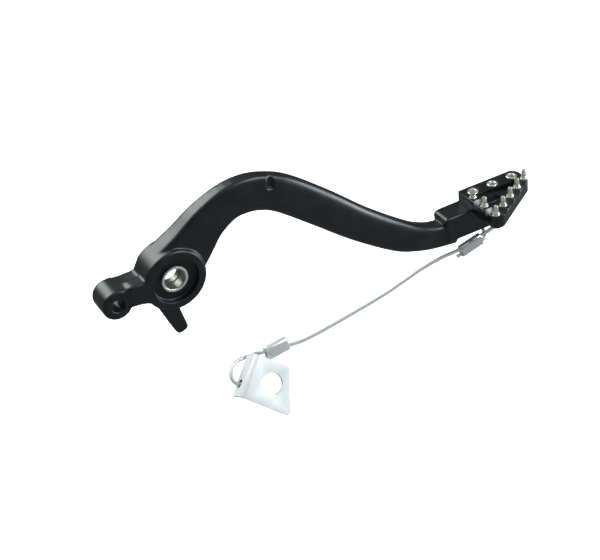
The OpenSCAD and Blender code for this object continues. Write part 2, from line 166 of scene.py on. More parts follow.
@dataclass(frozen=True)
class MetalFinish:
    """A metal, with the grain that its making leaves.

    Attributes:
        name: Name of the material.
        dark: Darker of its two colours.
        light: Lighter of its two colours.
        rough: Roughness in the smoothest places.
        rough_span: What the roughest places add.
        coat: How the surface was made.
        grain_mm: Size of one grain, or spacing of the brush lines.
        grain_depth_mm: Height of the grain.
        metallic: 1 for bare metal, less under a thick dyed layer or a dull skin.
        shine: Strength of the reflection where it isn't bare metal.
        CLOUD_MM: Size of the faint clouds in its colour and roughness.
        TONES: Places of the two colours in those clouds.
        WEAR: Range of clouds times grain that the roughness follows.
        RELIEF: Strength of the grain's bump.
    """

    name: str
    dark: str
    light: str
    rough: float
    rough_span: float
    coat: Coat
    grain_mm: float
    grain_depth_mm: float
    metallic: float = 1.0
    shine: float = 0.5

    CLOUD_MM: ClassVar[float] = 9.0
    TONES: ClassVar[tuple[float, float]] = (0.3, 0.7)
    WEAR: ClassVar[tuple[float, float]] = (0.1, 0.5)
    RELIEF: ClassVar[float] = 0.6

    def material(self) -> bpy.types.Material:
        """Builds the material.

        Returns:
            A material with noise in its colour and roughness, and grain as bump.
        """
        made, tree, shader = new_material(
            self.name, {"Metallic": self.metallic, "Specular IOR Level": self.shine}
        )
        place = add_node(tree, "ShaderNodeTexCoord").outputs["Object"]
        cloud = add_node(
            tree,
            "ShaderNodeTexNoise",
            {"Scale": 1 / (self.CLOUD_MM * MM), "Detail": 4.0, "Roughness": 0.6},
            {"Vector": place},
        )
        tone = add_node(tree, "ShaderNodeValToRGB", links={"Fac": cloud.outputs["Fac"]})
        set_ramp(tone, list(zip(self.TONES, (self.dark, self.light))))
        tree.links.new(tone.outputs["Color"], shader.inputs["Base Color"])
        along = add_node(
            tree, "ShaderNodeMapping", {"Scale": self.coat.value}, {"Vector": place}
        )
        grain = add_node(
            tree,
            "ShaderNodeTexNoise",
            {"Scale": 1 / (self.grain_mm * MM), "Detail": 2.0, "Roughness": 0.5},
            {"Vector": along.outputs["Vector"]},
        )
        both = add_node(
            tree,
            "ShaderNodeMath",
            links={0: cloud.outputs["Fac"], 1: grain.outputs["Fac"]},
            operation="MULTIPLY",
        )
        low, high = self.WEAR
        rough = add_node(
            tree,
            "ShaderNodeMapRange",
            {
                "From Min": low,
                "From Max": high,
                "To Min": self.rough,
                "To Max": self.rough + self.rough_span,
            },
            {"Value": both.outputs["Value"]},
        )
        tree.links.new(rough.outputs["Result"], shader.inputs["Roughness"])
        bump = add_node(
            tree,
            "ShaderNodeBump",
            {"Strength": self.RELIEF, "Distance": self.grain_depth_mm * MM},
            {"Height": grain.outputs["Fac"]},
        )
        tree.links.new(bump.outputs["Normal"], shader.inputs["Normal"])
        return made


# Black anodised forging: a dyed oxide layer over blasted aluminium, so it is
# satin with a faint green-blue cast, and only its glancing reflections are bright
ANODISED_FORGING = MetalFinish(
    name="black_anodised_forging",
    dark="#090d0f",
    light="#10171a",
    rough=0.33,
    rough_span=0.1,
    coat=Coat.BLASTED,
    grain_mm=0.35,
    grain_depth_mm=0.012,
    metallic=0.0,
    shine=0.6,
)
# The same layer on milled bar: blacker and glossier, with fine cutter lines
ANODISED_TIP = MetalFinish(
    name="black_anodised_milled",
    dark="#040506",
    light="#090b0c",
    rough=0.24,
    rough_span=0.12,
    coat=Coat.BRUSHED,
    grain_mm=0.3,
    grain_depth_mm=0.006,
    metallic=0.0,
    shine=0.85,
)
# Plated steel, turned: bright, slightly warm, with rings from the tool
TURNED_STEEL = MetalFinish(
    name="plated_turned_steel",
    dark="#c6c8b9",
    light="#e4e6d8",
    rough=0.22,
    rough_span=0.12,
    coat=Coat.TURNED,
    grain_mm=0.3,
    grain_depth_mm=0.006,
    metallic=0.75,
)
# The bush's bore, darker and greener than the fasteners: painted shade inside the bore
BUSH_BORE_SHADE = MetalFinish(
    name="bush_steel",
    dark="#62655a",
    light="#85887a",
    rough=0.34,
    rough_span=0.14,
    coat=Coat.TURNED,
    grain_mm=0.4,
    grain_depth_mm=0.006,
    metallic=0.85,
)
# The bush's rims, faced, in the steel's own colour without the bore's painted shade
BUSH_RIM = MetalFinish(
    name="bush_rim_steel",
    dark="#c3c6b9",
    light="#dfe1d6",
    rough=0.32,
    rough_span=0.12,
    coat=Coat.TURNED,
    grain_mm=0.4,
    grain_depth_mm=0.006,
    metallic=0.7,
)
# Drawn aluminium sleeve, soft and bright
DRAWN_ALUMINIUM = MetalFinish(
    name="drawn_aluminium",
    dark="#e6e8e9",
    light="#f6f7f7",
    rough=0.18,
    rough_span=0.12,
    coat=Coat.BRUSHED,
    grain_mm=0.4,
    grain_depth_mm=0.01,
    metallic=0.65,
)
# The front sleeve, pressed in a smoother die, mirrors the arm above it
PRESSED_ALUMINIUM = MetalFinish(
    name="pressed_aluminium",
    dark="#eff1f2",
    light="#fcfcfc",
    rough=0.08,
    rough_span=0.08,
    coat=Coat.BRUSHED,
    grain_mm=0.3,
    grain_depth_mm=0.006,
    metallic=0.86,
)
# Aluminium sheet, tumbled after cutting, so it is bright and even
SHEET_ALUMINIUM = MetalFinish(
    name="tumbled_aluminium_sheet",
    dark="#dcdede",
    light="#e8e9e9",
    rough=0.42,
    rough_span=0.14,
    coat=Coat.BLASTED,
    grain_mm=0.5,
    grain_depth_mm=0.01,
    metallic=0.15,
)
# The sheared rims of the same sheet: rougher, with drag lines, and darker, partly from the sheared
# metal's own grey and partly as painted shade
SHEARED_RIM_AND_SHADE = MetalFinish(
    name="sheared_rim_and_painted_shade",
    dark="#565b5f",
    light="#81868a",
    rough=0.36,
    rough_span=0.14,
    coat=Coat.BRUSHED,
    grain_mm=0.3,
    grain_depth_mm=0.02,
)


@dataclass(frozen=True)
class SheathedCable:
    """Stranded steel cable in a clear plastic sheath.

    Attributes:
        strands: Strands round the cable.
        lay_mm: Length in which a strand goes once round.
        length_mm: Length of the cable.
        relief_mm: Height of the strands that shows through the sheath.
        relief: Strength of that height as bump.
        tones: Colour between the strands, on their sides and on their crowns: painted shade in the
            grooves and a painted highlight on the crowns.
        metallic: Share of bare metal, less than 1 because the sheath scatters.
        rough: Roughness of the strands.
        sheath_rough: Roughness of the sheath.
    """

    strands: int = 6
    lay_mm: float = 14.0
    length_mm: float = 337.3
    relief_mm: float = 0.05
    relief: float = 0.4
    tones: tuple[str, str, str] = ("#adb0af", "#c6c8c6", "#dbdcd9")
    metallic: float = 0.35
    rough: float = 0.32
    sheath_rough: float = 0.08

    def strand_height(self, tree: bpy.types.NodeTree) -> bpy.types.NodeSocket:
        """Adds the helical pattern of the strands, from the tube's own UV map.

        Args:
            tree: The material's node tree.

        Returns:
            Height from 0 between the strands to 1 on their crowns.
        """
        chart = add_node(tree, "ShaderNodeUVMap", uv_map="UVMap").outputs["UV"]
        parts = add_node(tree, "ShaderNodeSeparateXYZ", links={"Vector": chart})
        wound = add_node(
            tree,
            "ShaderNodeMath",
            {1: self.length_mm / self.lay_mm},
            {0: parts.outputs["X"], 2: parts.outputs["Y"]},
            operation="MULTIPLY_ADD",
        )
        phase = add_node(
            tree,
            "ShaderNodeMath",
            {1: 2 * math.pi * self.strands},
            {0: wound.outputs["Value"]},
            operation="MULTIPLY",
        )
        wave = add_node(
            tree, "ShaderNodeMath", links={0: phase.outputs["Value"]}, operation="SINE"
        )
        height = add_node(
            tree,
            "ShaderNodeMapRange",
            {"From Min": -1.0, "From Max": 1.0},
            {"Value": wave.outputs["Value"]},
        )
        return height.outputs["Result"]

    def material(self) -> bpy.types.Material:
        """Builds the material.

        Returns:
            A grey metal with helical strands in its bump, and painted shade between them and a
            painted highlight on their crowns in its colour, under a clear coat.
        """
        made, tree, shader = new_material(
            "sheathed_steel_cable",
            {
                "Metallic": self.metallic,
                "Roughness": self.rough,
                "Coat Weight": 1.0,
                "Coat Roughness": self.sheath_rough,
            },
        )
        height = self.strand_height(tree)
        # By the strands' height, the ramp paints shade between the strands and a highlight on their
        # crowns
        tone = add_node(tree, "ShaderNodeValToRGB", links={"Fac": height})
        set_ramp(tone, list(zip((0.0, 0.5, 1.0), self.tones)))
        tree.links.new(tone.outputs["Color"], shader.inputs["Base Color"])
        bump = add_node(
            tree,
            "ShaderNodeBump",
            {"Strength": self.relief, "Distance": self.relief_mm * MM},
            {"Height": height},
        )
        tree.links.new(bump.outputs["Normal"], shader.inputs["Normal"])
        return made


@dataclass(frozen=True)
class SoftLamp:
    """A square soft lamp.

    Attributes:
        name: Name of the lamp.
        at: Place, in metres.
        size: Side of the square, in metres.
        power: Power in watts.
        colour: Hex colour.
    """

    name: str
    at: Triple
    size: float
    power: float
    colour: str

    def add(self, aim: Triple) -> None:
        """Adds the lamp, facing a point.

        Args:
            aim: The point, in metres.
        """
        light = bpy.data.lights.new(self.name, "AREA")
        light.size = self.size
        light.energy = self.power
        light.color = linear(self.colour)[:3]
        holder = bpy.data.objects.new(self.name, light)
        way = Vector(aim) - Vector(self.at)
        turn = way.to_track_quat("-Z", "Y").to_matrix().to_4x4()
        holder.matrix_world = Matrix.Translation(self.at) @ turn
        bpy.context.collection.objects.link(holder)


@dataclass
class Studio:
    """Camera, floor, lamps and background.

    Attributes:
        azimuth: Camera's angle round the pedal, in degrees.
        elevation: Camera's angle above the horizon, in degrees.
        lens_mm: Focal length on the sensor.
        sensor_mm: Width of the sensor.
        right_mm: How far right of the pivot the camera's axis passes.
        up_mm: How far above the pivot the camera's axis passes.
        distance_mm: Distance from the pivot, along the camera's axis.
        aim: Point that the lamps face, in metres.
        ambient: Light that surrounds the pedal.
        ceiling_from: Height of a reflected ray where the ceiling starts to brighten.
        ceiling_to: Height of a reflected ray where it is brightest.
        ceiling_low: Light that metal mirrors near the horizon.
        ceiling_high: Light that metal mirrors from above.
        floor_side: Side of the floor, in metres.
        floor_drop_mm: How far the floor lies below the pedal's lowest point.
        floor_glow: Light that the floor adds for the camera.
        floor_mirror: Light that it adds in reflections.
        LAMPS: The key, high behind at the left, and two fills.
    """

    azimuth: float = -29.3
    elevation: float = 32.7
    lens_mm: float = 88.02
    sensor_mm: float = 36.0
    right_mm: float = 74.708
    up_mm: float = -3.3
    distance_mm: float = 846.08
    aim: Triple = (0.09, 0.0, -0.02)
    ambient: float = 0.66
    ceiling_from: float = 0.5
    ceiling_to: float = 0.95
    ceiling_low: float = 0.1
    ceiling_high: float = 0.38
    floor_side: float = 12.0
    floor_drop_mm: float = 1.0
    floor_glow: float = 0.85
    floor_mirror: float = 0.2

    LAMPS: ClassVar[tuple[SoftLamp, ...]] = (
        SoftLamp("key_lamp", (-0.42, 0.85, 0.72), 0.8, 13.0, "#f4fffb"),
        SoftLamp("front_lamp", (0.7, -0.65, 0.9), 0.5, 9.0, "#eff9ff"),
        SoftLamp("right_lamp", (1.1, -0.35, 0.15), 0.4, 7.0, "#eef8ff"),
    )

    def camera(self) -> None:
        """Places the camera as the photo was taken."""
        az = math.radians(self.azimuth)
        el = math.radians(self.elevation)
        back = Vector((math.cos(el) * math.sin(az), -math.cos(el) * math.cos(az), math.sin(el)))
        right = Vector((math.cos(az), math.sin(az), 0.0))
        up = back.cross(right)
        at = (right * self.right_mm + up * self.up_mm + back * self.distance_mm) * MM
        turn = Matrix((right, up, back)).transposed().to_4x4()
        lens = bpy.data.cameras.new("camera")
        lens.lens = self.lens_mm
        lens.sensor_width = self.sensor_mm
        lens.clip_start = 0.01
        lens.clip_end = 20.0
        holder = bpy.data.objects.new("camera", lens)
        holder.matrix_world = Matrix.Translation(at) @ turn
        bpy.context.collection.objects.link(holder)
        bpy.context.scene.camera = holder

    def ceiling(self, tree: bpy.types.NodeTree) -> bpy.types.NodeSocket:
        """Adds the light that metal mirrors, which rises with height.

        Args:
            tree: The world's node tree.

        Returns:
            Its strength.
        """
        way = add_node(tree, "ShaderNodeTexCoord").outputs["Generated"]
        height = add_node(tree, "ShaderNodeSeparateXYZ", links={"Vector": way}).outputs["Z"]
        made = add_node(
            tree,
            "ShaderNodeMapRange",
            {
                "From Min": self.ceiling_from,
                "From Max": self.ceiling_to,
                "To Min": self.ceiling_low,
                "To Max": self.ceiling_high,
            },
            {"Value": height},
            interpolation_type="SMOOTHSTEP",
        )
        return made.outputs["Result"]

    def background(self) -> None:
        """Makes what surrounds the pedal white to the camera and soft to its metal."""
        world = bpy.data.worlds.new("studio")
        bpy.context.scene.world = world
        world.use_nodes = True
        tree = world.node_tree
        tree.nodes.clear()
        path = add_node(tree, "ShaderNodeLightPath")
        seen = add_node(
            tree,
            "ShaderNodeMath",
            links={0: path.outputs["Is Camera Ray"], 1: path.outputs["Is Transmission Ray"]},
            operation="MAXIMUM",
        )
        soft = add_node(
            tree,
            "ShaderNodeBackground",
            {"Color": linear("#eef1f4"), "Strength": self.ambient},
        )
        mirror = add_node(
            tree,
            "ShaderNodeBackground",
            {"Color": linear("#fafcff")},
            {"Strength": self.ceiling(tree)},
        )
        white = add_node(
            tree, "ShaderNodeBackground", {"Color": linear("#ffffff"), "Strength": 1.0}
        )
        first = add_node(
            tree,
            "ShaderNodeMixShader",
            links={0: path.outputs["Is Glossy Ray"], 1: soft.outputs[0], 2: mirror.outputs[0]},
        )
        last = add_node(
            tree,
            "ShaderNodeMixShader",
            links={0: seen.outputs["Value"], 1: first.outputs[0], 2: white.outputs[0]},
        )
        add_node(tree, "ShaderNodeOutputWorld", links={"Surface": last.outputs[0]})

    def floor_material(self) -> bpy.types.Material:
        """Builds the floor's material.

        Returns:
            Pale and dull, lifted to white for the camera and even in reflections.
        """
        made, tree, shader = new_material(
            "pale_floor",
            {"Base Color": linear("#dcdee0"), "Roughness": 0.9, "Specular IOR Level": 0.1},
        )
        path = add_node(tree, "ShaderNodeLightPath")
        glow = add_node(
            tree,
            "ShaderNodeEmission",
            {"Color": linear("#ffffff"), "Strength": self.floor_glow},
        )
        lit = add_node(
            tree, "ShaderNodeAddShader", links={0: shader.outputs[0], 1: glow.outputs[0]}
        )
        seen = add_node(
            tree,
            "ShaderNodeMixShader",
            links={0: path.outputs["Is Camera Ray"], 1: shader.outputs[0], 2: lit.outputs[0]},
        )
        even = add_node(
            tree,
            "ShaderNodeEmission",
            {"Color": linear("#f2f9fc"), "Strength": self.floor_mirror},
        )
        mixed = add_node(
            tree,
            "ShaderNodeMixShader",
            links={0: path.outputs["Is Glossy Ray"], 1: seen.outputs[0], 2: even.outputs[0]},
        )
        tree.links.new(mixed.outputs[0], tree.nodes["Material Output"].inputs["Surface"])
        return made

    def floor(self) -> None:
        """Lays a plain pale floor that keeps the pedal's soft shadow."""
        low, _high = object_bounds()
        bpy.ops.object.select_all(action="DESELECT")
        height = low[2] - self.floor_drop_mm * MM
        bpy.ops.mesh.primitive_plane_add(size=self.floor_side, location=(0.0, 0.0, height))
        plane = bpy.context.object
        plane.name = "floor"
        plane.data.materials.append(self.floor_material())
        plane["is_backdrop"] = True

    def build(self) -> None:
        """Adds the lamps, the background and the floor."""
        for lamp in self.LAMPS:
            lamp.add(self.aim)
        self.background()
        self.floor()


def smooth_route(points: list[Vector], steps: int) -> list[Vector]:
    """Joins points by a smooth curve that passes through each.

    Args:
        points: Points in order.
        steps: Stretches between two points.

    Returns:
        Points along the curve.
    """
    last = len(points) - 1
    made = []
    for i in range(last):
        a, b, c, d = (points[min(max(i + k, 0), last)] for k in (-1, 0, 1, 2))
        for s in range(steps):
            t = s / steps
            bend = 2 * a - 5 * b + 4 * c - d + t * (3 * (b - c) + d - a)
            made.append(b + t / 2 * (c - a + t * bend))
    return made + [points[last]]


def pick(piece: bpy.types.Object) -> None:
    """Selects one piece alone and makes it active.

    Args:
        piece: The piece.
    """
    bpy.ops.object.select_all(action="DESELECT")
    piece.select_set(True)
    bpy.context.view_layer.objects.active = piece


def apply_modifier(piece: bpy.types.Object, kind: str, **settings: Any) -> None:
    """Adds a modifier and applies it.

    Args:
        piece: The piece that it shapes.
        kind: Type name of the modifier.
        **settings: Attributes of the modifier.
    """
    pick(piece)
    step = piece.modifiers.new(kind.lower(), kind)
    for name, value in settings.items():
        setattr(step, name, value)
    bpy.ops.object.modifier_apply(modifier=step.name)


def break_edges(
    piece: bpy.types.Object, width: float, segments: int, degrees: float, miter: str = "MITER_SHARP"
) -> None:
    """Bevels the edges that are sharper than an angle.

    Args:
        piece: The piece.
        width: Width of the bevel, in millimetres.
        segments: Steps across it.
        degrees: The angle.
        miter: How bevels meet at an outer corner.
    """
    apply_modifier(
        piece,
        "BEVEL",
        width=width * MM,
        segments=segments,
        limit_method="ANGLE",
        angle_limit=math.radians(degrees),
        use_clamp_overlap=False,
        miter_outer=miter,
    )


def combine(piece: bpy.types.Object, tool: bpy.types.Object, how: str = "DIFFERENCE") -> None:
    """Cuts a tool out of a piece, or joins it on, and removes the tool.

    Args:
        piece: The piece that changes.
        tool: A closed solid.
        how: DIFFERENCE or UNION.
    """
    apply_modifier(piece, "BOOLEAN", operation=how, object=tool, solver="MANIFOLD")
    bpy.data.objects.remove(tool)


def copy_of(piece: bpy.types.Object, name: str, move: Matrix) -> bpy.types.Object:
    """Copies a piece with its own mesh, and moves the copy's mesh.

    Args:
        piece: The piece.
        name: Name of the copy.
        move: Where the copy's mesh goes.

    Returns:
        The copy.
    """
    made = bpy.data.objects.new(name, piece.data.copy())
    bpy.context.collection.objects.link(made)
    made.data.transform(move)
    return made


def merged_copy(node: str, name: str) -> bpy.types.Object:
    """Copies a CAD node to a new piece, and joins its loose triangles.

    Args:
        node: Name of the node.
        name: Name of the piece.

    Returns:
        The new piece, without a material.
    """
    piece = copy_of(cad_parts[node], name, Matrix.Identity(4))
    piece.data.materials.clear()
    pick(piece)
    bpy.ops.object.mode_set(mode="EDIT")
    bpy.ops.mesh.select_all(action="SELECT")
    bpy.ops.mesh.remove_doubles(threshold=0.002 * MM)
    bpy.ops.object.mode_set(mode="OBJECT")
    return piece


def flat_copy(node: str, name: str) -> bpy.types.Object:
    """Copies a CAD node, and joins the triangles that lie in one plane to one face.

    Args:
        node: Name of the node.
        name: Name of the piece.

    Returns:
        The new piece, without a material.
    """
    piece = merged_copy(node, name)
    flatten_faces(piece)
    return piece


def flatten_faces(piece: bpy.types.Object, degrees: float = 0.6) -> None:
    """Joins faces that lie in one plane to one face.

    Args:
        piece: The piece.
        degrees: Faces that turn by less than this count as one plane.
    """
    pick(piece)
    bpy.ops.object.mode_set(mode="EDIT")
    bpy.ops.mesh.select_all(action="SELECT")
    bpy.ops.mesh.dissolve_limited(angle_limit=math.radians(degrees))
    bpy.ops.object.mode_set(mode="OBJECT")


def turned(name: str, stations: Profile, place: Matrix, sides: int = 64) -> bpy.types.Object:
    """Turns a closed solid about +Z, one station after the other.

    Args:
        name: Name of the piece.
        stations: Height and radius of each station, in millimetres.
        place: Where +Z and its origin go, in metres.
        sides: Points round a station.

    Returns:
        The solid.
    """
    height, radius = stations[0]
    bpy.ops.object.select_all(action="DESELECT")
    bpy.ops.mesh.primitive_circle_add(
        vertices=sides, radius=radius * MM, fill_type="NGON", location=(0.0, 0.0, height * MM)
    )
    piece = bpy.context.object
    piece.name = name
    bpy.ops.object.transform_apply(location=True, rotation=True, scale=True)
    bpy.ops.object.mode_set(mode="EDIT")
    bpy.ops.mesh.select_mode(type="FACE")
    bpy.ops.mesh.select_all(action="SELECT")
    for next_height, next_radius in stations[1:]:
        rise = (0.0, 0.0, (next_height - height) * MM)
        ratio = next_radius / radius
        bpy.ops.mesh.extrude_region_move(TRANSFORM_OT_translate={"value": rise})
        bpy.ops.transform.resize(
            value=(ratio, ratio, 1.0), center_override=(0.0, 0.0, next_height * MM)
        )
        height, radius = next_height, next_radius
    bpy.ops.mesh.select_all(action="SELECT")
    bpy.ops.mesh.normals_make_consistent(inside=False)
    bpy.ops.object.mode_set(mode="OBJECT")
    piece.data.transform(place)
    return piece


def facing(axis: Vector, at: Vector) -> Matrix:
    """Gives the place of a part that is turned about an axis through a point."""
    return Matrix.Translation(at) @ axis.to_track_quat("Z", "Y").to_matrix().to_4x4()


def finish_piece(
    piece: bpy.types.Object,
    materials: list[bpy.types.Material],
    node: str,
    degrees: float = 30,
) -> None:
    """Shades a piece, dresses it in its materials, parents it to its body, and hides the CAD node
    that it stands for.

    Args:
        piece: The piece.
        materials: Its materials, the first of them for most faces.
        node: The CAD node that it stands for.
        degrees: Edges sharper than this stay crisp.
    """
    pick(piece)
    bpy.ops.object.shade_smooth_by_angle(angle=math.radians(degrees))
    # Cutting leaves empty slots behind, so a piece of one material starts clean
    if len(materials) == 1:
        piece.data.materials.clear()
        for face in piece.data.polygons:
            face.material_index = 0
    for material in materials:
        piece.data.materials.append(material)
    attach(piece, "root")
    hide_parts(node)
    log.info("%s: %d faces", piece.name, len(piece.data.polygons))


def hole_cutter(radius: float, depth: float, rim: float, fillet: float = 0.0) -> Profile:
    """Gives the stations of a cutter for a hole with a rounded rim.

    The cutter's height 0 is the face that it enters, and it points into it.

    Args:
        radius: Radius of the hole.
        depth: Depth of the hole.
        rim: Radius of the rounded rim.
        fillet: Radius of the floor's inner corner.

    Returns:
        Height and radius of each station, in millimetres.
    """
    steps = 6
    angles = [math.pi / 2 * k / steps for k in range(1, steps + 1)]
    made = [(-1.0, radius + rim), (0.0, radius + rim)]
    made += [(rim * (1 - math.cos(a)), radius + rim * (1 - math.sin(a))) for a in angles]
    if not fillet:
        return made + [(depth, radius)]
    made.append((depth - fillet, radius))
    made += [
        (depth - fillet + fillet * math.sin(a), radius - fillet * (1 - math.cos(a)))
        for a in angles
    ]
    return made


@dataclass(frozen=True)
class TipFrame:
    """The frame of the toe tip: its origin is the rear screw, in the tip's top face.

    Attributes:
        ahead: Distance ahead of the pivot.
        drop: Distance below the pivot.
        pitch: Nose-up pitch, in degrees.
        screw_pitch: Spacing of the tip's screws.
    """

    ahead: float = 212.0
    drop: float = 2.8
    pitch: float = 6.2
    screw_pitch: float = 15.0

    def matrix(self) -> Matrix:
        """Gives the frame's place."""
        at = Vector((self.ahead, 0.0, -self.drop)) * MM
        return Matrix.Translation(at) @ Matrix.Rotation(-math.radians(self.pitch), 4, "Y")

    def point(self, x: float, y: float, z: float) -> Vector:
        """Gives a point of the frame in the pedal's own frame, in metres."""
        return self.matrix() @ (Vector((x, y, z)) * MM)

    def turn(self, x: float, y: float, z: float) -> Vector:
        """Gives a direction of the frame in the pedal's own frame."""
        return self.matrix().to_3x3() @ Vector((x, y, z))


TIP = TipFrame()


@dataclass
class SafetyCable:
    """The cable between the pedal's block and its anchor bracket.

    Attributes:
        diameter: Diameter over the sheath.
        steps: Rings between two points of the route.
        ROUTE: The route of the part's source, from the cut end round the
            block's cross hole, back to the rear sleeve and through the
            bracket's flange.
    """

    diameter: float = 2.6
    steps: int = 5

    ROUTE: ClassVar[tuple[Triple, ...]] = (
        (199.4, -5, -45.8), (202.2, -5, -44.8), (210.2, -5, -41.9), (218.3, -5, -39),
        (221, -4.4, -37.8), (222.6, -1, -36), (223.4, 4, -33), (224.2, 8.4, -29.4),
        (225.4, 11.2, -25.2), (226.3, 11.2, -21.4), (226.6, 8, -19.6), (226.6, 0, -19.5),
        (226.6, -8, -19.6), (226.3, -11.2, -21.4), (224.8, -11.6, -24.8), (222.6, -10, -28),
        (220.6, -7.4, -31.6), (218.9, -5.6, -34), (216.9, -5, -35), (208.9, -5, -37.9),
        (200.9, -5, -40.8), (195.2, -4.3, -42.3), (187.7, -2.5, -45), (174.3, 0, -51),
        (161.3, 3, -59.2), (148.3, 6, -67), (128, 9.5, -76.2), (107.5, 12.5, -84.4),
        (96, 14.3, -88.3), (89.6, 15.3, -89.3), (86, 15.9, -90), (78, 15.5, -91.5),
        (70, 15.1, -93), (66.6, 14.5, -94), (62.4, 13.6, -97.6), (58.2, 12.3, -101.3),
        (53.9, 11.3, -104.1), (49.2, 11.7, -104.5), (46, 14.1, -103.6), (45.7, 18.3, -101.1),
        (48.4, 22.4, -98.5), (53.1, 25, -96.8), (58.3, 25.9, -96.3), (62.8, 25.1, -95.4),
        (65.4, 22.8, -93.5), (66.4, 19.6, -91), (68.9, 16.9, -89.1), (77.4, 17.2, -87.5),
        (83.6, 17.5, -86.3), (86.4, 17.7, -85.8),
    )

    def tube(self, path: list[Vector]) -> bpy.types.Object:
        """Makes a tube along a path.

        Args:
            path: Points of its centre line, in metres.

        Returns:
            The tube, as a mesh.
        """
        line = bpy.data.curves.new("cable_line", "CURVE")
        line.dimensions = "3D"
        line.bevel_depth = self.diameter / 2 * MM
        line.bevel_resolution = 4
        line.use_fill_caps = True
        spline = line.splines.new("POLY")
        spline.points.add(len(path) - 1)
        for point, place in zip(spline.points, path):
            point.co = (*place, 1.0)
        piece = bpy.data.objects.new("cable", line)
        bpy.context.collection.objects.link(piece)
        pick(piece)
        bpy.ops.object.convert(target="MESH")
        bpy.ops.object.shade_smooth_by_angle(angle=math.radians(50))
        return piece

    def build(self) -> None:
        finish = SheathedCable()
        path = smooth_route([Vector(p) * MM for p in self.ROUTE], self.steps)
        piece = self.tube(path)
        piece.data.materials.append(finish.material())
        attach(piece, "root")
        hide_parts("safety_cable")
        log.info("cable: %d rings", len(path))


